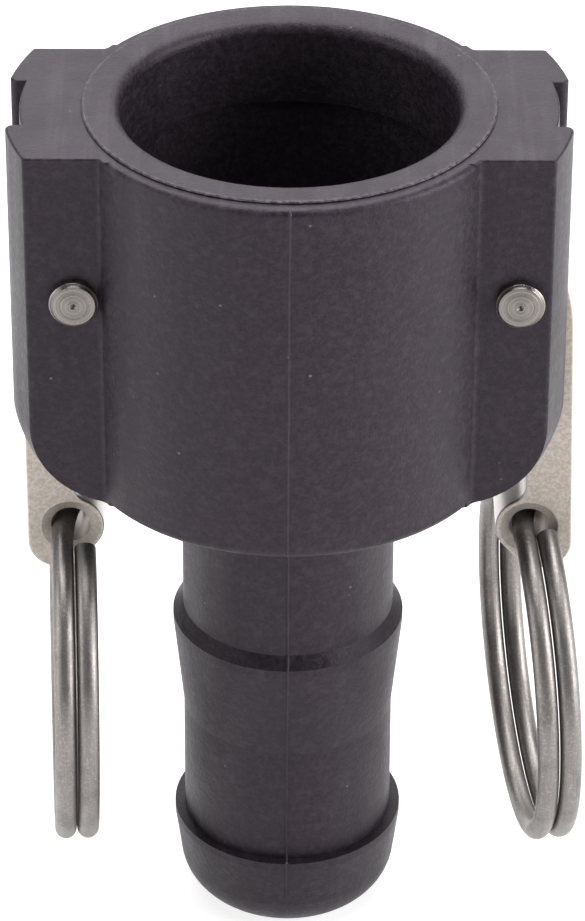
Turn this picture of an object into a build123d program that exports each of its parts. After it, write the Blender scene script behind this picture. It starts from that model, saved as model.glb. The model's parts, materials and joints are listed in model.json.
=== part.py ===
"""Camlock coupling: a female coupler with a hose shank, nominal 1 inch.

One moulded plastic body carries two stainless cam arms, each on its own pin between
a pair of ears, with a split ring through the foot of each arm and a flat gasket in
the bottom of the socket.

Frame: millimetres, +Z up along the coupling's axis, origin in the middle of the
shank's end face. The arms are on the X axis and their pins run along Y.
"""
import os
from math import asin, cos, degrees, hypot, radians, sin, sqrt

from build123d import *

# ---- driving dimensions ----------------------------------------------------------
overall_length = 105.4

# socket for the adapter
socket_radius = 18.65  # pilot land for a 36.7 mm adapter
pilot_length = 10.0
socket_relief = 0.25  # below the pilot land the bore is this much larger in radius
mouth_round = 1.4
socket_depth = 33.5  # mouth to gasket
gasket_thickness = 6.35
gasket_width = 6.35
gasket_undercut = 1.2  # the gasket reaches this far out under the socket's wall
gasket_gap = 0.15  # room round and above the gasket in its groove
gasket_edge_round = 0.4

# head and rim
head_wall = 5.65  # round the pilot land
floor_thickness = 4.55  # under the gasket
rim_inset = 1.5  # the flat ring round the mouth starts this far in from the head's side
rim_step = 0.3  # and stands this far above the ears
rim_edge_round = 0.15
head_top_round = 0.9
ear_top_round = 0.3
head_bottom_round = 1.2

# hose shank
barb_radius = 13.43  # for a 25.4 mm hose
barb_height = 1.18
barb_land = 1.0
shank_wall = 3.65
shank_root_round = 1.0
throat_depth = 6.0  # height of the cone between the gasket seat and the passage
lower_barb_rise = 11.0  # from the end face to the lower barb's crest
barb_pitch = 27.6
upper_barb_slope = 1.4
upper_barb_taper = 12.5
tip_wall = 0.8  # flat of the end face
tip_taper = 5.6  # height of the straight taper below the lower barb
tip_fall = 0.73  # radius lost over that taper
tip_round = 6.0

# ears, two each side, with the arm's slot between them
ear_reach = 7.15  # from the head's side to the ears' outer faces, which lie on one cylinder
ear_thickness = 7.85
ear_corner = 9.8
ear_edge_round = 0.5
ear_root_round = 0.8
slot_width = 10.2
slot_lip_round = 0.8
web_inset = 1.85  # the bridge that closes the slot's top stands this far back from the ears
web_depth = 8.0

# hinge pins
pin_radius = 2.72
pin_drop = 18.0  # below the mouth
left_pin_wall = 4.85  # from the pilot land out to the pin's centre
right_pin_wall = 6.6
pin_proud = 1.2
pin_chamfer = 0.35
pin_crown = 0.12  # height of the slight dome on each end
dimple_radius = 0.4
dimple_depth = 0.3
pin_interference = 0.02
hinge_clearance = 0.06

# cam arms, drawn from the pin's centre
arm_side_gap = 0.2
arm_edge = 6.37  # distance out to the straight outer edge
arm_bar = 5.27  # thickness of the bar in the plane of the cam
shoulder_round = 26.0
arm_head_wall = 1.88  # round the pin
lobe_round = 3.4
lobe_inward = 4.4
lobe_drop = 2.3
lobe_fillet = 3.0
boss_wall = 1.6  # round the ring hole
boss_fillet = 2.5
foot_round = 3.5
foot_overhang = 2.15  # from the ring hole down to the centre of the foot's round
ring_hole_outward = 1.42
ring_hole_drop = 34.55
ring_hole_clearance = 0.085
hole_chamfer_width = 1.1
hole_chamfer_depth = 0.5
arm_edge_round = 0.3
window_gap = 0.5
open_arm_room = 2.0  # above the arm's head, for its shoulder when the arm is up
left_lean = 0.0  # degrees open
right_lean = 1.5

# split rings, two laps each
wire_radius = 1.25
ring_mean_radius = 20.75
lap_gap = 0.1
ring_lift = 0.1  # the strand in the hole lies this far above the hole's centre
left_ring_yaw = 3.5  # degrees
left_ring_swing = 0.8  # degrees that the ring hangs outwards
left_end_gap = 2.65  # from the arm's side to each cut end
left_step_gap = 2.314  # from the arm's side to each end of the step between laps
right_ring_yaw = 7.5
right_ring_swing = 2.2
right_end_gap = 0.985
right_step_gap = 0.64

# ---- derived places --------------------------------------------------------------
top = overall_length
ear_top = top - rim_step
pin_height = top - pin_drop
gasket_top = top - socket_depth
seat_height = gasket_top - gasket_thickness
head_bottom = seat_height - floor_thickness
lower_crest = lower_barb_rise
upper_crest = lower_crest + barb_pitch

bore_radius = socket_radius + socket_relief
gasket_outer_radius = socket_radius + gasket_undercut
gasket_inner_radius = gasket_outer_radius - gasket_width
groove_radius = gasket_outer_radius + gasket_gap
head_radius = socket_radius + head_wall
rim_radius = head_radius - rim_inset
shank_radius = barb_radius - barb_height
passage_radius = shank_radius - shank_wall
tip_radius = passage_radius + tip_wall
ear_radius = head_radius + ear_reach
web_radius = ear_radius - web_inset
ear_side = slot_width / 2 + ear_thickness
root_x = sqrt(head_radius**2 - ear_side**2)

left_pin_x = -(socket_radius + left_pin_wall)
right_pin_x = socket_radius + right_pin_wall
arm_width = slot_width - 2 * arm_side_gap
head_round = pin_radius + arm_head_wall
foot_drop = ring_hole_drop + foot_overhang
cam_reach = hypot(lobe_inward, lobe_drop) + lobe_round
window_top = pin_height + head_round + open_arm_room
window_bottom = pin_height - cam_reach - window_gap
edge_reach = 0.1  # an edge is chosen when it is this near its expected place


def ring_angle(gap):
    """Degrees from a ring's top to a point that lies this far outside the arm's side."""
    return degrees(asin((arm_width / 2 + gap) / ring_mean_radius))


def strand_stray(yaw, step_gap):
    """How far the strand's centre is from the hole's axis where the hole's chamfer starts."""
    reach = arm_width / 2 - hole_chamfer_depth
    left_over = max(0, 1 - reach / (arm_width / 2 + step_gap))
    across = lap_offset * (1 - left_over**2) - reach * sin(radians(yaw))
    down = reach**2 / (2 * ring_mean_radius) - ring_lift
    return hypot(across, down)


lap_offset = wire_radius + lap_gap / 2
widest_stray = max(
    strand_stray(left_ring_yaw, left_step_gap),
    strand_stray(right_ring_yaw, right_step_gap),
)
ring_hole_radius = wire_radius + widest_stray + ring_hole_clearance
boss_round = ring_hole_radius + boss_wall

os.makedirs("parts", exist_ok=True)


def write(piece, name):
    """Label a finished piece and write its STEP file."""
    piece.label = name
    export_step(piece, f"parts/{name}.step")


# ---- coupling body ---------------------------------------------------------------
# ear blocks: a turned flange, kept only between two flat sides
with BuildPart() as ear_blocks:
    with BuildSketch(Plane.XZ):
        with BuildLine():
            Polyline(
                (ear_radius - ear_corner, head_bottom),
                (shank_radius, head_bottom),
                (shank_radius, ear_top),
                (ear_radius, ear_top),
                (ear_radius, head_bottom + ear_corner),
            )
            RadiusArc(
                (ear_radius, head_bottom + ear_corner),
                (ear_radius - ear_corner, head_bottom),
                ear_corner,
            )
        make_face()
    revolve(axis=Axis.Z)
    with BuildSketch(Plane.XY.offset(head_bottom)):
        Circle(ear_radius)
        Rectangle(3 * ear_radius, 2 * ear_side, mode=Mode.INTERSECT)
        fillet(vertices(), ear_edge_round)
        # soft corner where each ear leaves the head
        Circle(head_radius)
        ear_roots = vertices().filter_by(
            lambda v: abs(abs(v.Y) - ear_side) < edge_reach and abs(abs(v.X) - root_x) < edge_reach
        )
        fillet(ear_roots, ear_root_round)
        Rectangle(3 * ear_radius, 2 * (ear_side + ear_root_round), mode=Mode.INTERSECT)
    extrude(amount=ear_top - head_bottom, mode=Mode.INTERSECT)

with BuildPart() as coupling_body:
    # head and shank, turned
    with BuildSketch(Plane.XZ):
        with BuildLine():
            RadiusArc(
                (head_radius, head_bottom + head_bottom_round),
                (head_radius - head_bottom_round, head_bottom),
                head_bottom_round,
            )
            Polyline(
                (head_radius - head_bottom_round, head_bottom),
                (shank_radius, head_bottom),
                (shank_radius, upper_crest + upper_barb_slope),
                (barb_radius, upper_crest),
                (barb_radius, upper_crest - barb_land),
                (shank_radius, upper_crest - upper_barb_taper),
                (shank_radius, lower_crest),
                (barb_radius, lower_crest),
                (barb_radius, lower_crest - barb_land),
                (barb_radius - tip_fall, lower_crest - barb_land - tip_taper),
            )
            RadiusArc(
                (barb_radius - tip_fall, lower_crest - barb_land - tip_taper),
                (tip_radius, 0),
                tip_round,
            )
            Polyline(
                (tip_radius, 0),
                (0, 0),
                (0, top),
                (rim_radius, top),
                (rim_radius, ear_top),
                (head_radius - head_top_round, ear_top),
            )
            RadiusArc(
                (head_radius - head_top_round, ear_top),
                (head_radius, ear_top - head_top_round),
                head_top_round,
            )
            Line(
                (head_radius, ear_top - head_top_round),
                (head_radius, head_bottom + head_bottom_round),
            )
        make_face()
    revolve(axis=Axis.Z)
    shank_root = coupling_body.edges().filter_by(GeomType.CIRCLE).filter_by(
        lambda e: abs(e.radius - shank_radius) < edge_reach
        and abs(e.center().Z - head_bottom) < edge_reach
    )
    fillet(shank_root, shank_root_round)
    add(ear_blocks.part)

    # arm slots between the ears, below the web and outside it
    for plan_inner, slot_foot, slot_head in (
        (head_radius, 0, ear_top - web_depth),
        (web_radius, ear_top - web_depth, top),
    ):
        with BuildSketch(Plane.XY.offset(slot_foot)):
            Rectangle(3 * ear_radius, slot_width)
            Circle(plan_inner, mode=Mode.SUBTRACT)
        extrude(amount=slot_head - slot_foot, mode=Mode.SUBTRACT)

    # windows that let the cams into the socket
    with BuildSketch(Plane.XY.offset(window_bottom)):
        Rectangle(2 * head_radius, slot_width)
    extrude(amount=window_top - window_bottom, mode=Mode.SUBTRACT)

    # rounded lips where the slots open through the ears' outer faces
    lip_x = sqrt(ear_radius**2 - (slot_width / 2) ** 2)
    slot_lips = coupling_body.edges().filter_by(Axis.Z).filter_by(
        lambda e: abs(abs(e.center().Y) - slot_width / 2) < edge_reach
        and abs(abs(e.center().X) - lip_x) < edge_reach
    )
    fillet(slot_lips, slot_lip_round)

    # softened top edges of the ears, the slots and the rim ring
    ear_outline = coupling_body.edges().filter_by_position(
        Axis.Z, ear_top - edge_reach, ear_top + edge_reach
    ).filter_by(lambda e: hypot(e.center().X, e.center().Y) > head_radius + ear_root_round)
    fillet(ear_outline, ear_top_round)
    rim_edge = coupling_body.edges().group_by(Axis.Z)[-1]
    fillet(rim_edge, rim_edge_round)

    # socket, gasket groove, throat and passage, bored from the mouth
    with BuildSketch(Plane.XZ):
        with BuildLine():
            RadiusArc(
                (socket_radius + mouth_round, top),
                (socket_radius, top - mouth_round),
                -mouth_round,
            )
            Polyline(
                (socket_radius, top - mouth_round),
                (socket_radius, top - pilot_length),
                (bore_radius, top - pilot_length),
                (bore_radius, gasket_top + gasket_gap),
                (groove_radius, gasket_top + gasket_gap),
                (groove_radius, seat_height),
                (gasket_inner_radius - gasket_edge_round, seat_height),
                (passage_radius, seat_height - throat_depth),
                (passage_radius, -1),
                (0, -1),
                (0, top + 1),
                (socket_radius + mouth_round, top + 1),
                (socket_radius + mouth_round, top),
            )
        make_face()
    revolve(axis=Axis.Z, mode=Mode.SUBTRACT)

    # pin holes through both ears
    with BuildSketch(Plane.XZ):
        with Locations((left_pin_x, pin_height), (right_pin_x, pin_height)):
            Circle(pin_radius - pin_interference)
    extrude(amount=2 * ear_side, both=True, mode=Mode.SUBTRACT)

write(coupling_body.part, "coupling_body")

# ---- gasket ----------------------------------------------------------------------
with BuildPart() as gasket:
    with BuildSketch(Plane.XY.offset(seat_height)):
        Circle(gasket_outer_radius)
        Circle(gasket_inner_radius, mode=Mode.SUBTRACT)
    extrude(amount=gasket_thickness)
    fillet(gasket.edges().filter_by(GeomType.CIRCLE), gasket_edge_round)

write(gasket.part, "gasket")


# ---- hinge pins ------------------------------------------------------------------
def hinge_pin(pin_x, name):
    """A straight pin pressed through both ears, chamfered and centre-marked."""
    half_length = ear_side + pin_proud
    crown_edge = (pin_radius - pin_chamfer, half_length - pin_crown)
    crown_radius = (crown_edge[0] ** 2 + pin_crown**2) / (2 * pin_crown)
    with BuildPart() as pin:
        with BuildSketch(Plane.XY):
            with BuildLine():
                Line((0, half_length - dimple_depth), (dimple_radius, half_length))
                RadiusArc((dimple_radius, half_length), crown_edge, crown_radius)
                Polyline(
                    crown_edge,
                    (pin_radius, crown_edge[1] - pin_chamfer),
                    (pin_radius, 0),
                    (0, 0),
                    (0, half_length - dimple_depth),
                )
            make_face()
        revolve(axis=Axis.Y)
        mirror(about=Plane.XZ)
    write(pin.part.moved(Location((pin_x, 0, pin_height))), name)


hinge_pin(left_pin_x, "left_hinge_pin")
hinge_pin(right_pin_x, "right_hinge_pin")


# ---- cam arms --------------------------------------------------------------------
def touch_points(first, first_radius, second, second_radius):
    """Ends of the straight line that runs along the outside of two circles."""
    span = Vector(second) - Vector(first)
    along = span.normalized()
    across = Vector(along.Y, -along.X)
    lean = (first_radius - second_radius) / span.length
    normal = along * lean + across * sqrt(1 - lean**2)
    return Vector(first) + normal * first_radius, Vector(second) + normal * second_radius


def on_circle(centre, radius, towards):
    """The point of a circle that lies on the line from its centre to a point."""
    return Vector(centre) + (Vector(towards) - Vector(centre)).normalized() * radius


def cam_arm(pin_x, side, lean, name):
    """Cam, bar and ring boss in one plate; side is 1 on +X and -1 on -X."""
    inner_edge = arm_edge - arm_bar
    lobe = (-lobe_inward, -lobe_drop)
    hole = (ring_hole_outward, -ring_hole_drop)
    foot = (arm_edge - foot_round, -foot_drop)

    # the shoulder arc ends upright on the outer edge and touches the head's circle
    shoulder_x = arm_edge - shoulder_round
    shoulder_y = -sqrt((shoulder_round - head_round) ** 2 - shoulder_x**2)
    head_start = on_circle((0, 0), head_round, (-shoulder_x, -shoulder_y))
    head_end, lobe_start = touch_points((0, 0), head_round, lobe, lobe_round)

    # hollow fillets between the bar's straight inner edge and the two round ends
    lobe_hollow_x = inner_edge - lobe_fillet
    lobe_hollow_y = lobe[1] - sqrt((lobe_round + lobe_fillet) ** 2 - (lobe_hollow_x - lobe[0]) ** 2)
    lobe_end = on_circle(lobe, lobe_round, (lobe_hollow_x, lobe_hollow_y))
    boss_hollow_x = inner_edge - boss_fillet
    boss_hollow_y = hole[1] + sqrt((boss_round + boss_fillet) ** 2 - (boss_hollow_x - hole[0]) ** 2)
    boss_start = on_circle(hole, boss_round, (boss_hollow_x, boss_hollow_y))
    boss_end, foot_start = touch_points(hole, boss_round, foot, foot_round)

    tilt = radians(lean)
    arm_plane = Plane(
        origin=(pin_x, 0, pin_height),
        x_dir=(side * cos(tilt), 0, sin(tilt)),
        z_dir=(0, -side, 0),
    )
    with BuildPart() as arm:
        with BuildSketch(arm_plane):
            with BuildLine():
                Line((arm_edge, foot[1]), (arm_edge, shoulder_y))
                RadiusArc((arm_edge, shoulder_y), head_start, -shoulder_round)
                RadiusArc(head_start, head_end, -head_round)
                Line(head_end, lobe_start)
                RadiusArc(lobe_start, lobe_end, -lobe_round)
                RadiusArc(lobe_end, (inner_edge, lobe_hollow_y), lobe_fillet)
                Line((inner_edge, lobe_hollow_y), (inner_edge, boss_hollow_y))
                RadiusArc((inner_edge, boss_hollow_y), boss_start, boss_fillet)
                RadiusArc(boss_start, boss_end, -boss_round)
                Line(boss_end, foot_start)
                RadiusArc(foot_start, (arm_edge, foot[1]), -foot_round)
            make_face()
        extrude(amount=arm_width / 2, both=True)
        outline = arm.faces().filter_by(Axis.Y).edges()
        fillet(outline, arm_edge_round)

        with BuildSketch(arm_plane):
            Circle(pin_radius + hinge_clearance)
            with Locations(hole):
                Circle(ring_hole_radius)
        extrude(amount=arm_width, both=True, mode=Mode.SUBTRACT)
        for end in (0, -1):
            flank = arm.faces().sort_by(Axis.Y)[end]
            hole_rim = flank.edges().filter_by(GeomType.CIRCLE).filter_by(
                lambda e: abs(e.radius - ring_hole_radius) < edge_reach
            )
            chamfer(hole_rim, hole_chamfer_width, hole_chamfer_depth, reference=flank)
    write(arm.part, name)


cam_arm(left_pin_x, -1, left_lean, "left_cam_arm")
cam_arm(right_pin_x, 1, right_lean, "right_cam_arm")


# ---- split rings -----------------------------------------------------------------
def hole_centre(pin_x, side, lean):
    """Where the ring hole of an arm is when the arm leans open by some degrees."""
    tilt = radians(lean)
    outward = ring_hole_outward * cos(tilt) + ring_hole_drop * sin(tilt)
    height = ring_hole_outward * sin(tilt) - ring_hole_drop * cos(tilt)
    return pin_x + side * outward, pin_height + height


def split_ring(centre, yaw, swing, end_gap, step_gap, name):
    """Two laps of wire; the step from lap to lap passes through the arm's hole."""
    end = ring_angle(end_gap)
    step = ring_angle(step_gap)

    def on_lap(angle, offset):
        turn = radians(angle)
        return Vector(offset, -ring_mean_radius * sin(turn), ring_mean_radius * cos(turn))

    def heading(angle):
        turn = radians(angle)
        return Vector(0, -cos(turn), -sin(turn))

    # the step is two arcs that meet on the ring's centre line
    step_start = on_lap(-step, lap_offset)
    step_end = on_lap(step, -lap_offset)
    start_way = heading(-step)
    end_way = heading(step)
    gap = step_end - step_start
    a = 2 * (start_way.dot(end_way) - 1)
    b = -2 * gap.dot(start_way + end_way)
    c = gap.dot(gap)
    reach = (-b - sqrt(b**2 - 4 * a * c)) / (2 * a)
    middle = (step_start + start_way * reach + step_end - end_way * reach) / 2

    with BuildPart() as ring:
        with BuildLine() as wire_path:
            first_lap = ThreePointArc(
                on_lap(end, lap_offset), on_lap(180, lap_offset), step_start
            )
            TangentArc(step_start, middle, tangent=start_way)
            TangentArc(middle, step_end, tangent=wire_path.edges()[-1] % 1)
            ThreePointArc(step_end, on_lap(180, -lap_offset), on_lap(360 - end, -lap_offset))
        with BuildSketch(Plane(first_lap @ 0, z_dir=first_lap % 0)):
            Circle(wire_radius)
        sweep(path=wire_path.wires()[0])
    hole_x, hole_z = centre
    upright = ring.part.moved(Location((0, 0, ring_lift - middle.Z), (0, 0, yaw)))
    write(upright.moved(Location((hole_x, 0, hole_z), (0, swing, 0))), name)


left_hole = hole_centre(left_pin_x, -1, left_lean)
right_hole = hole_centre(right_pin_x, 1, right_lean)
split_ring(left_hole, left_ring_yaw, left_ring_swing, left_end_gap, left_step_gap, "left_ring")
split_ring(
    right_hole, right_ring_yaw, -right_ring_swing, right_end_gap, right_step_gap, "right_ring"
)
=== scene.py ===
"""Camlock coupling, nominal 1 inch: moulded body, two cam arms on pins, two split rings, gasket."""
import json
from math import cos, pi, radians, sin

import bpy
from mathutils import Matrix, Vector
from mathutils.bvhtree import BVHTree


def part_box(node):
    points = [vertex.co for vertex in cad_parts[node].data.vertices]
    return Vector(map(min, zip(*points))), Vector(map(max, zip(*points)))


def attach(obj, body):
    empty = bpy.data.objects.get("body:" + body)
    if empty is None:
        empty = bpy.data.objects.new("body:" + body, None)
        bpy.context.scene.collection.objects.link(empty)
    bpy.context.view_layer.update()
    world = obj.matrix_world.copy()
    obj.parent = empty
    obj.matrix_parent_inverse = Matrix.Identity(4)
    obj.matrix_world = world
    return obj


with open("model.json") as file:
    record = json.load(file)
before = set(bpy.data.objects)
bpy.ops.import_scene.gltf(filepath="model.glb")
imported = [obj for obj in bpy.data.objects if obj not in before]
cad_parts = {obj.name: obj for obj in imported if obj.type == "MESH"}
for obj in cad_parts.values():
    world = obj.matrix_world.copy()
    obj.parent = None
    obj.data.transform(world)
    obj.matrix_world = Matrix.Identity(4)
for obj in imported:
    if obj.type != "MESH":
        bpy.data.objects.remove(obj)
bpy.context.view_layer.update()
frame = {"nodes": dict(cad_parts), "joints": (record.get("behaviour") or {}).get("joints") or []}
mm = 0.001

# ---- camera ------------------------------------------------------------------------
# A long lens in front of the coupling and above it, looking down past the rim at the
# two pins and the hanging rings.
camera_place = Vector((-0.00008, -0.45807, 0.34832))
camera_pitch = 32.298  # degrees down
camera_heading = 0.069  # degrees towards +X
camera_roll = 0.223
camera_lens = 184.58
camera_film = 36  # millimetres wide
camera_data = bpy.data.cameras.new("long_lens")
camera_data.lens = camera_lens
camera_data.sensor_width = camera_film
camera_data.clip_start = 0.01
camera_data.clip_end = 20
camera = bpy.data.objects.new("camera", camera_data)
bpy.context.scene.collection.objects.link(camera)
camera.matrix_world = (
    Matrix.Translation(camera_place)
    @ Matrix.Rotation(-radians(camera_heading), 4, "Z")
    @ Matrix.Rotation(radians(90 - camera_pitch), 4, "X")
    @ Matrix.Rotation(radians(camera_roll), 4, "Z")
)
bpy.context.scene.camera = camera
bpy.context.scene.view_settings.view_transform = "Standard"

# ---- table -------------------------------------------------------------------------
# A wide sheet of matt white board that the coupling stands on. It isn't part of the
# coupling.
board_half = 3.0
board_drop = 0.05 * mm  # under the shank's end face
board_glow = 0.8  # light through the board from below
board_colours = ((0.38, 0.38, 0.38), (0.42, 0.42, 0.42))


def new_finish(name):
    """A material with its node tree and its surface shader."""
    material = bpy.data.materials.new(name)
    material.use_nodes = True
    return material, material.node_tree, material.node_tree.nodes["Principled BSDF"]


def add_node(tree, kind, sockets, family="ShaderNode", **settings):
    """A node of this kind; each socket gets a plain value or the output of another node."""
    made = tree.nodes.new(family + kind)
    for name, value in settings.items():
        setattr(made, name, value)
    for name, value in sockets.items():
        if isinstance(value, bpy.types.NodeSocket):
            tree.links.new(value, made.inputs[name])
        else:
            made.inputs[name].default_value = value
    return made


def object_place(tree):
    """The place of a point in metres, in the coupling's own frame."""
    return add_node(tree, "TexCoord", {}).outputs["Object"]


def grain(tree, place, scale, detail=3.0, roughness=0.55, stretch=(1, 1, 1)):
    """Noise from 0 to 1, with its size set per metre and stretched along the axes."""
    scaled = add_node(tree, "Mapping", {"Vector": place, "Scale": stretch}).outputs[0]
    sockets = {"Vector": scaled, "Scale": scale, "Detail": detail, "Roughness": roughness}
    return add_node(tree, "TexNoise", sockets).outputs[0]


def sum_up(tree, operation, first, second=0.0, clamp=False):
    """One step of arithmetic on two numbers."""
    made = add_node(tree, "Math", {0: first, 1: second}, operation=operation)
    made.use_clamp = clamp
    return made.outputs[0]


def spread(tree, value, low, high, to_low=0.0, to_high=1.0):
    """The value carried from one range to another, and held at the ends."""
    sockets = {0: value, 1: low, 2: high, 3: to_low, 4: to_high}
    return add_node(tree, "MapRange", sockets).outputs[0]


def blend_colours(tree, share, first, second):
    """The first colour where the share is 0 and the second where it is 1."""
    made = add_node(tree, "Mix", {0: share}, data_type="RGBA")
    for place, colour in ((6, first), (7, second)):
        if isinstance(colour, bpy.types.NodeSocket):
            tree.links.new(colour, made.inputs[place])
        else:
            made.inputs[place].default_value = (*colour, 1)
    return made.outputs[2]


def relief(tree, height, distance, strength=1.0, under=None):
    """A bump of this many metres, on top of another bump."""
    sockets = {"Height": height, "Distance": distance, "Strength": strength}
    if under:
        sockets["Normal"] = under
    return add_node(tree, "Bump", sockets).outputs[0]


def finish_board():
    """Matt white board with a faint grain of fibres, lit a little from below."""
    material, tree, shader = new_finish("white_board")
    fibres = grain(tree, object_place(tree), scale=900.0)
    colour = blend_colours(tree, fibres, *board_colours)
    tree.links.new(colour, shader.inputs["Base Color"])
    tree.links.new(relief(tree, fibres, 0.02 * mm), shader.inputs["Normal"])
    shader.inputs["Roughness"].default_value = 0.8
    shader.inputs["Specular IOR Level"].default_value = 0.2
    shader.inputs["Emission Color"].default_value = (1, 1, 1, 1)
    shader.inputs["Emission Strength"].default_value = board_glow
    return material


corners = [(x, y, -board_drop) for x, y in ((-1, -1), (1, -1), (1, 1), (-1, 1))]
board_mesh = bpy.data.meshes.new("white_board")
board_mesh.from_pydata(
    [(x * board_half, y * board_half, z) for x, y, z in corners], [], [(0, 1, 2, 3)]
)
board_mesh.materials.append(finish_board())
board = bpy.data.objects.new("white_board", board_mesh)
bpy.context.scene.collection.objects.link(board)

# ---- studio light ------------------------------------------------------------------
# A wide soft box overhead, a wider one behind, and a narrow one on each side, the right
# one stronger, in a dim room.
room_glow = 0.12
overhead_aim = (0, 0, 0.05)
side_aim = (0, 0, 0.06)
room = bpy.data.worlds.new("pale_room")
room.use_nodes = True
room.node_tree.nodes["Background"].inputs["Color"].default_value = (1, 1, 1, 1)
room.node_tree.nodes["Background"].inputs["Strength"].default_value = room_glow
bpy.context.scene.world = room


def soft_box(name, place, aim, width, height, watts):
    """A rectangular area light at a place, turned to face its aim; metres and watts."""
    light = bpy.data.lights.new(name, "AREA")
    light.shape = "RECTANGLE"
    light.size = width
    light.size_y = height
    light.energy = watts
    holder = bpy.data.objects.new(name, light)
    bpy.context.scene.collection.objects.link(holder)
    holder.location = place
    holder.rotation_euler = (Vector(aim) - Vector(place)).to_track_quat("-Z", "Y").to_euler()


soft_box("soft_box_top", (0, 0.15, 1.0), overhead_aim, width=0.9, height=0.9, watts=18.5)
soft_box("soft_box_back", (0, 1.3, 0.85), overhead_aim, width=2.0, height=1.1, watts=15)
soft_box("soft_box_left", (-0.9, -0.25, 0.35), side_aim, width=0.5, height=0.7, watts=4.2)
soft_box("soft_box_right", (0.9, -0.25, 0.35), side_aim, width=0.5, height=0.7, watts=11)

# ---- coupling body -----------------------------------------------------------------
# The head with its ears and the hose shank are one injection moulding in charcoal
# polypropylene, satin, with a fine grain, faint flow marks, a parting line down the
# front and the back, a torn skin along the rim ring's edge and some dust.
rim_edge = (22.35 * mm, 22.75 * mm)  # the band of the rim ring where the skin is torn
rim_height = 105.25 * mm
head_skin = (23.8 * mm, 24.0 * mm)  # the head's side is further out than this
head_foot = 60.9 * mm  # where the head ends and the shank starts
shank_skin = (11.4 * mm, 11.8 * mm)  # the passage is further in than this
seam_half_width = 0.11 * mm
seam_wander = 0.5 * mm
charcoal_colours = ((0.012, 0.009, 0.0125), (0.0185, 0.014, 0.0193))
leather_grey = (0.042, 0.033, 0.044)
pore_black = (0.009, 0.007, 0.0095)
streak_grey = (0.052, 0.043, 0.054)
seam_grey = (0.085, 0.075, 0.088)
torn_grey = (0.13, 0.12, 0.13)
dust_grey = (0.2, 0.19, 0.2)
dust_radius = (0.05, 0.09)  # in cells of the dust pattern, from full to none
dust_share = (0.86, 0.9)  # cells above this hold a speck
polypropylene_ior = 1.49


def finish_moulding():
    """Satin charcoal plastic with grain, flow marks, parting line, torn rim and dust."""
    material, tree, shader = new_finish("charcoal_polypropylene")
    place = object_place(tree)
    parts = add_node(tree, "SeparateXYZ", {0: place}).outputs
    flat = add_node(tree, "CombineXYZ", {0: parts[0], 1: parts[1]}).outputs[0]
    radius = add_node(tree, "VectorMath", {0: flat}, operation="LENGTH").outputs["Value"]
    clouds = grain(tree, place, scale=55.0)
    flow = grain(tree, place, 260.0, detail=2.0, roughness=0.5, stretch=(1, 1, 0.12))
    streaks = grain(tree, place, 900.0, detail=2.0, roughness=0.6, stretch=(1, 0.06, 1))
    pores = grain(tree, place, 3800.0, detail=2.0, roughness=0.6)
    leather = grain(tree, place, 1500.0, detail=4.0, roughness=0.7)

    # the parting line, on the outer skin only
    wander = sum_up(tree, "MULTIPLY", sum_up(tree, "SUBTRACT", flow, 0.5), seam_wander)
    aside = sum_up(tree, "ABSOLUTE", sum_up(tree, "ADD", parts[0], wander))
    line = spread(tree, aside, seam_half_width * 0.5, seam_half_width * 1.5, 1.0, 0.0)
    below_head = sum_up(tree, "LESS_THAN", parts[2], head_foot)
    skin_mask = sum_up(tree, "MAXIMUM", spread(tree, radius, *head_skin),
                       sum_up(tree, "MULTIPLY", spread(tree, radius, *shank_skin), below_head))
    seam = sum_up(tree, "MULTIPLY", line, skin_mask)

    # the torn skin round the mouth
    torn = sum_up(tree, "MULTIPLY", spread(tree, radius, *rim_edge),
                  sum_up(tree, "GREATER_THAN", parts[2], rim_height))
    torn = sum_up(tree, "MULTIPLY", torn, spread(tree, leather, 0.42, 0.6))

    # each layer of colour covers the ones before it by a share
    colour = blend_colours(tree, clouds, *charcoal_colours)
    cover = spread(tree, leather, 0.42, 0.68, 0.0, 0.55)
    colour = blend_colours(tree, cover, colour, leather_grey)
    cover = spread(tree, pores, 0.35, 0.5, 0.45, 0.0)
    colour = blend_colours(tree, cover, colour, pore_black)
    cover = spread(tree, streaks, 0.52, 0.7, 0.0, 0.3)
    colour = blend_colours(tree, cover, colour, streak_grey)
    colour = blend_colours(tree, sum_up(tree, "MULTIPLY", seam, 0.3), colour, seam_grey)
    colour = blend_colours(tree, sum_up(tree, "MULTIPLY", torn, 0.6), colour, torn_grey)
    dust = add_node(tree, "TexVoronoi", {"Vector": place, "Scale": 420.0}, feature="F1")
    speck = spread(tree, dust.outputs["Distance"], *dust_radius, 1.0, 0.0)
    tint = add_node(tree, "SeparateColor", {"Color": dust.outputs["Color"]}).outputs[0]
    speck = sum_up(tree, "MULTIPLY", speck, spread(tree, tint, *dust_share))
    colour = blend_colours(tree, sum_up(tree, "MULTIPLY", speck, 0.6), colour, dust_grey)
    tree.links.new(colour, shader.inputs["Base Color"])
    gloss = sum_up(tree, "ADD", spread(tree, flow, 0.3, 0.7, 0.31, 0.42),
                   spread(tree, leather, 0.3, 0.7, 0.0, 0.14))
    tree.links.new(sum_up(tree, "ADD", gloss, speck, clamp=True), shader.inputs["Roughness"])
    skin = relief(tree, leather, 0.09 * mm, 0.9)
    skin = relief(tree, pores, 0.035 * mm, 0.9, skin)
    skin = relief(tree, clouds, 0.2 * mm, 0.5, skin)
    skin = relief(tree, seam, 0.12 * mm, 1.0, skin)
    tree.links.new(skin, shader.inputs["Normal"])
    shader.inputs["IOR"].default_value = polypropylene_ior
    shader.inputs["Specular IOR Level"].default_value = 0.25
    shader.inputs["Specular Tint"].default_value = (1.0, 0.9, 1.0, 1.0)
    return material


moulding = finish_moulding()
frame["nodes"]["coupling_body"].material_slots[0].material = moulding

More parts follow.
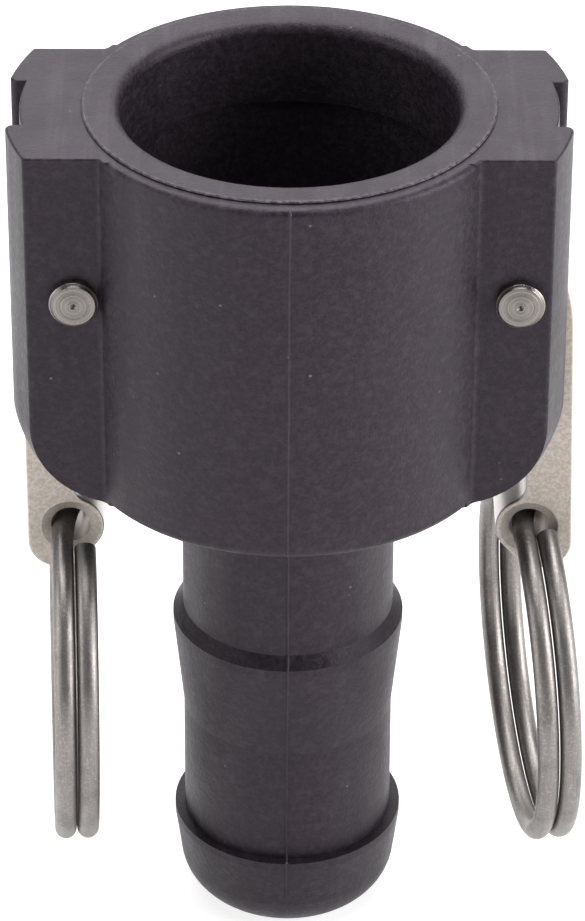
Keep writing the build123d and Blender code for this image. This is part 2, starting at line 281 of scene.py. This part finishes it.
# ---- parting ribs ------------------------------------------------------------------
# Thin uneven ribs of polypropylene that squeezed out where the mould's parts met: up the
# front and the back of the shank, and round the outer edge of the rim ring. They are one
# with the moulding.
rib_step = 0.35 * mm
rib_sides = 8
rib_grain = 420.0  # of the noise that moves a rib, per metre
clear_of_body = 30 * mm  # from the coupling's axis to a point outside the shank
shank_rib_span = (1.8 * mm, 60.6 * mm)  # from the rounded tip to the head
shank_rib_sizes = {"Radius": 0.1 * mm, "Wander": 0.25 * mm, "Depth": 0.12 * mm, "Seed": 4.0}
rim_rib_radius = 22.79 * mm
rim_rib_height = 105.24 * mm
rim_rib_sizes = {"Radius": 0.06 * mm, "Wander": 0.12 * mm, "Depth": 0.1 * mm, "Seed": 9.0}


def rib_tree(material):
    """A path of edges becomes a round rib that wanders along the skin and in its depth."""
    tree = bpy.data.node_groups.new("parting_rib", "GeometryNodeTree")
    tree.interface.new_socket("Path", in_out="INPUT", socket_type="NodeSocketGeometry")
    for size in ("Radius", "Wander", "Depth", "Seed"):
        tree.interface.new_socket(size, in_out="INPUT", socket_type="NodeSocketFloat")
    tree.interface.new_socket("Rib", in_out="OUTPUT", socket_type="NodeSocketGeometry")
    inlet = add_node(tree, "GroupInput", {}, family="Node").outputs
    place = add_node(tree, "InputPosition", {}, family="GeometryNode").outputs[0]
    sockets = {"Vector": place, "W": inlet["Seed"], "Scale": rib_grain, "Detail": 4.0}
    noise = add_node(tree, "TexNoise", sockets, noise_dimensions="4D")
    throw = add_node(tree, "VectorMath", {0: noise.outputs["Color"], 1: (0.5, 0.5, 0.5)},
                     operation="SUBTRACT").outputs[0]
    throw = add_node(tree, "SeparateXYZ", {0: throw}).outputs
    out = add_node(tree, "VectorMath", {0: place, 1: (1, 1, 0)}, operation="MULTIPLY")
    out = add_node(tree, "VectorMath", {0: out.outputs[0]}, operation="NORMALIZE").outputs[0]
    along = add_node(tree, "VectorMath", {0: out, 1: (0, 0, 1)}, operation="CROSS_PRODUCT")
    deep = sum_up(tree, "MULTIPLY", throw[0], inlet["Depth"])
    side = sum_up(tree, "MULTIPLY", throw[1], inlet["Wander"])
    deep = add_node(tree, "VectorMath", {0: out, "Scale": deep}, operation="SCALE").outputs[0]
    side = add_node(tree, "VectorMath", {0: along.outputs[0], "Scale": side},
                    operation="SCALE").outputs[0]
    shift = add_node(tree, "VectorMath", {0: deep, 1: side}, operation="ADD").outputs[0]
    path = add_node(tree, "MeshToCurve", {"Mesh": inlet["Path"]}, family="GeometryNode")
    path = add_node(tree, "SetPosition", {"Geometry": path.outputs[0], "Offset": shift},
                    family="GeometryNode").outputs[0]
    sockets = {"Resolution": rib_sides, "Radius": inlet["Radius"]}
    section = add_node(tree, "CurvePrimitiveCircle", sockets, family="GeometryNode").outputs[0]
    sockets = {"Curve": path, "Profile Curve": section, "Fill Caps": True}
    rib = add_node(tree, "CurveToMesh", sockets, family="GeometryNode").outputs[0]
    rib = add_node(tree, "RealizeInstances", {"Geometry": rib}, family="GeometryNode").outputs[0]
    rib = add_node(tree, "SetMaterial", {"Geometry": rib, "Material": material},
                   family="GeometryNode").outputs[0]
    add_node(tree, "GroupOutput", {"Rib": rib}, family="Node")
    return tree


def make_rib(name, paths, closed, tree, sizes):
    """One rib for each path of points, as a plain mesh that rides with the moulding."""
    points = [point for path in paths for point in path]
    edges = []
    for path in paths:
        start = points.index(path[0])
        edges += [(start + i, start + i + 1) for i in range(len(path) - 1)]
        if closed:
            edges.append((start + len(path) - 1, start))
    mesh = bpy.data.meshes.new(name)
    mesh.from_pydata(points, edges, [])
    rib = bpy.data.objects.new(name, mesh)
    bpy.context.scene.collection.objects.link(rib)
    modifier = rib.modifiers.new("parting_rib", "NODES")
    modifier.node_group = tree
    for socket in tree.interface.items_tree:
        if socket.in_out == "INPUT" and socket.name in sizes:
            modifier[socket.identifier] = sizes[socket.name]
    solid = rib.evaluated_get(bpy.context.evaluated_depsgraph_get())
    finished = bpy.data.meshes.new_from_object(solid)
    rib.modifiers.remove(modifier)
    rib.data = finished
    finished.shade_smooth()
    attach(rib, "coupler")


body_node = frame["nodes"]["coupling_body"]
body_skin = BVHTree.FromPolygons(
    [body_node.matrix_world @ vertex.co for vertex in body_node.data.vertices],
    [face.vertices for face in body_node.data.polygons],
)
rib_nodes = rib_tree(moulding)
shank_paths = []
for side in (-1, 1):
    path = []
    for i in range(int((shank_rib_span[1] - shank_rib_span[0]) / rib_step)):
        outside = Vector((0, side * clear_of_body, shank_rib_span[0] + i * rib_step))
        path.append(body_skin.ray_cast(outside, Vector((0, -side, 0)))[0])
    shank_paths.append(path)
make_rib("shank_parting_rib", shank_paths, False, rib_nodes, shank_rib_sizes)
rim_count = int(2 * pi * rim_rib_radius / rib_step)
rim_turns = [2 * pi * i / rim_count for i in range(rim_count)]
rim_path = [
    Vector((rim_rib_radius * cos(turn), rim_rib_radius * sin(turn), rim_rib_height))
    for turn in rim_turns
]
make_rib("rim_parting_rib", [rim_path], True, rib_nodes, rim_rib_sizes)

# ---- gasket ------------------------------------------------------------------------
# A flat ring of black nitrile rubber, moulded in one. It is sprung into the groove at the
# socket's bottom, where nothing else holds it.
rubber_colours = ((0.012, 0.012, 0.013), (0.03, 0.03, 0.032))


def finish_rubber():
    """Dull black rubber with a pale bloom in patches and a fine skin."""
    material, tree, shader = new_finish("black_nitrile")
    place = object_place(tree)
    bloom = grain(tree, place, scale=140.0)
    skin = grain(tree, place, scale=2200.0)
    colour = blend_colours(tree, bloom, *rubber_colours)
    tree.links.new(colour, shader.inputs["Base Color"])
    tree.links.new(spread(tree, bloom, 0.3, 0.7, 0.5, 0.72), shader.inputs["Roughness"])
    tree.links.new(relief(tree, skin, 0.02 * mm, 0.6), shader.inputs["Normal"])
    return material


frame["nodes"]["gasket"].material_slots[0].material = finish_rubber()

# ---- hinge pins --------------------------------------------------------------------
# Straight stainless pins turned to length: the tool left fine circles round the centre
# mark on each end. They are pressed through both ears.
# the tool marks are real; their very dark grooves are painted shade and the bright crests between
# them are painted highlight
groove_shade_crest_highlight = ((0.055, 0.048, 0.044), (0.35, 0.32, 0.304))  # in and between the marks
smear_grey = (0.28, 0.25, 0.23)


def finish_turned_steel(name, centre):
    """Bright steel with fine circles round the pin's axis, which runs along Y; the circles carry
    painted shade and painted highlight.
    """
    material, tree, shader = new_finish(name)
    place = object_place(tree)
    from_axis = add_node(tree, "VectorMath", {0: place, 1: centre}, operation="SUBTRACT")
    parts = add_node(tree, "SeparateXYZ", {0: from_axis.outputs[0]}).outputs
    flat = add_node(tree, "CombineXYZ", {0: parts[0], 2: parts[2]}).outputs[0]
    radius = add_node(tree, "VectorMath", {0: flat}, operation="LENGTH").outputs["Value"]
    wobble = grain(tree, place, scale=900.0)
    circles = add_node(tree, "CombineXYZ", {0: radius}).outputs[0]
    tool_marks_and_painted_light = grain(tree, circles, 4200.0, detail=3.0, roughness=0.75)
    tool_marks_and_painted_light = spread(tree, tool_marks_and_painted_light, 0.3, 0.7)
    # painted shade in the tool marks' grooves and painted highlight on their crests
    colour = blend_colours(tree, tool_marks_and_painted_light, *groove_shade_crest_highlight)
    cover = spread(tree, wobble, 0.55, 0.75, 0.0, 0.4)
    colour = blend_colours(tree, cover, colour, smear_grey)
    tree.links.new(colour, shader.inputs["Base Color"])
    tree.links.new(spread(tree, wobble, 0.3, 0.7, 0.24, 0.38), shader.inputs["Roughness"])
    skin = relief(tree, tool_marks_and_painted_light, 0.05 * mm, 0.9)
    skin = relief(tree, wobble, 0.1 * mm, 0.4, skin)
    tree.links.new(skin, shader.inputs["Normal"])
    shader.inputs["Metallic"].default_value = 1.0
    return material


for joint in frame["joints"]:
    if joint["name"].endswith("arm_hinge"):
        pin = joint["name"].replace("arm_hinge", "hinge_pin")
        steel = finish_turned_steel(f"turned_steel_{pin}", joint["pos_m"])
        frame["nodes"][pin].material_slots[0].material = steel

# ---- cam arms ----------------------------------------------------------------------
# Investment castings in stainless steel, blasted to a grey-beige skin and rubbed
# brighter on the narrow edges by hands and by the slots. Each turns on its pin.
cast_colours = ((0.43, 0.385, 0.345), (0.50, 0.45, 0.405))
edge_colours = ((0.48, 0.45, 0.43), (0.58, 0.55, 0.53))
blast_shade = (0.27, 0.24, 0.215)
pit_brown = (0.24, 0.21, 0.185)
flank_facing = (0.75, 0.97)  # how squarely a flank faces along Y, from none to full


def finish_cast_steel():
    """Blasted grey-beige steel on the flanks, and smoother brighter steel on the edges."""
    material, tree, shader = new_finish("blasted_cast_steel")
    coordinates = add_node(tree, "TexCoord", {})
    place = coordinates.outputs["Object"]
    facing = add_node(tree, "SeparateXYZ", {0: coordinates.outputs["Normal"]}).outputs[1]
    flank = spread(tree, sum_up(tree, "ABSOLUTE", facing), *flank_facing)
    clouds = grain(tree, place, scale=120.0)
    blast = grain(tree, place, 2600.0, detail=2.0, roughness=0.6)
    pits = grain(tree, place, 900.0, detail=4.0, roughness=0.65)
    colour = blend_colours(tree, clouds, *cast_colours)
    cover = spread(tree, blast, 0.4, 0.62, 0.5, 0.0)
    colour = blend_colours(tree, cover, colour, blast_shade)
    cover = spread(tree, pits, 0.66, 0.74, 0.0, 0.45)
    colour = blend_colours(tree, cover, colour, pit_brown)
    edge = blend_colours(tree, clouds, *edge_colours)
    tree.links.new(blend_colours(tree, flank, edge, colour), shader.inputs["Base Color"])
    gloss = sum_up(tree, "ADD", spread(tree, flank, 0, 1, 0.3, 0.5),
                   spread(tree, clouds, 0.3, 0.7, 0.0, 0.1))
    tree.links.new(gloss, shader.inputs["Roughness"])
    skin = relief(tree, blast, 0.03 * mm, 0.6)
    skin = relief(tree, pits, 0.05 * mm, 0.5, skin)
    tree.links.new(skin, shader.inputs["Normal"])
    shader.inputs["Metallic"].default_value = 1.0
    return material


cast_steel = finish_cast_steel()
for arm in ("left_cam_arm", "right_cam_arm"):
    frame["nodes"][arm].material_slots[0].material = cast_steel

# ---- split rings -------------------------------------------------------------------
# Two laps of drawn stainless wire each, with lengthwise die lines and rubbed spots. The
# wire is threaded through the arm's hole and its own spring keeps the laps together.
wire_colours = ((0.17, 0.157, 0.149), (0.28, 0.262, 0.25))
rubbed_grey = (0.13, 0.119, 0.112)
# the light specks on the wire are painted glints
painted_glint_grey = (0.48, 0.455, 0.44)
line_stretch = 0.6 * mm  # of pattern for each radian round the ring, so the lines run long


def finish_drawn_wire(name, centre):
    """Semi-matt steel wire with die lines that follow it round the ring's centre, and light specks
    that are painted glints.
    """
    material, tree, shader = new_finish(name)
    place = object_place(tree)
    from_centre = add_node(tree, "VectorMath", {0: place, 1: centre}, operation="SUBTRACT")
    parts = add_node(tree, "SeparateXYZ", {0: from_centre.outputs[0]}).outputs
    flat = add_node(tree, "CombineXYZ", {1: parts[1], 2: parts[2]}).outputs[0]
    radius = add_node(tree, "VectorMath", {0: flat}, operation="LENGTH").outputs["Value"]
    turn = sum_up(tree, "ARCTAN2", parts[1], parts[2])
    along = sum_up(tree, "MULTIPLY", turn, line_stretch)
    drawn = add_node(tree, "CombineXYZ", {0: parts[0], 1: radius, 2: along}).outputs[0]
    die_lines = grain(tree, drawn, 5200.0, detail=2.0, roughness=0.6)
    rubbed = grain(tree, place, scale=260.0)
    glint_speckle = grain(tree, place, 3000.0, detail=3.0, roughness=0.7)
    colour = blend_colours(tree, die_lines, *wire_colours)
    cover = spread(tree, rubbed, 0.55, 0.7, 0.0, 0.4)
    colour = blend_colours(tree, cover, colour, rubbed_grey)
    # painted glints: light specks laid over the wire's colour
    cover = spread(tree, glint_speckle, 0.5, 0.72, 0.0, 0.45)
    colour = blend_colours(tree, cover, colour, painted_glint_grey)
    tree.links.new(colour, shader.inputs["Base Color"])
    tree.links.new(spread(tree, rubbed, 0.3, 0.7, 0.38, 0.52), shader.inputs["Roughness"])
    skin = relief(tree, die_lines, 0.02 * mm, 0.6)
    tree.links.new(relief(tree, glint_speckle, 0.03 * mm, 0.6, skin), shader.inputs["Normal"])
    shader.inputs["Metallic"].default_value = 1.0
    return material


for ring in ("left_ring", "right_ring"):
    low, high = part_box(ring)
    wire = finish_drawn_wire(f"drawn_wire_{ring}", (low + high) / 2)
    frame["nodes"][ring].material_slots[0].material = wire
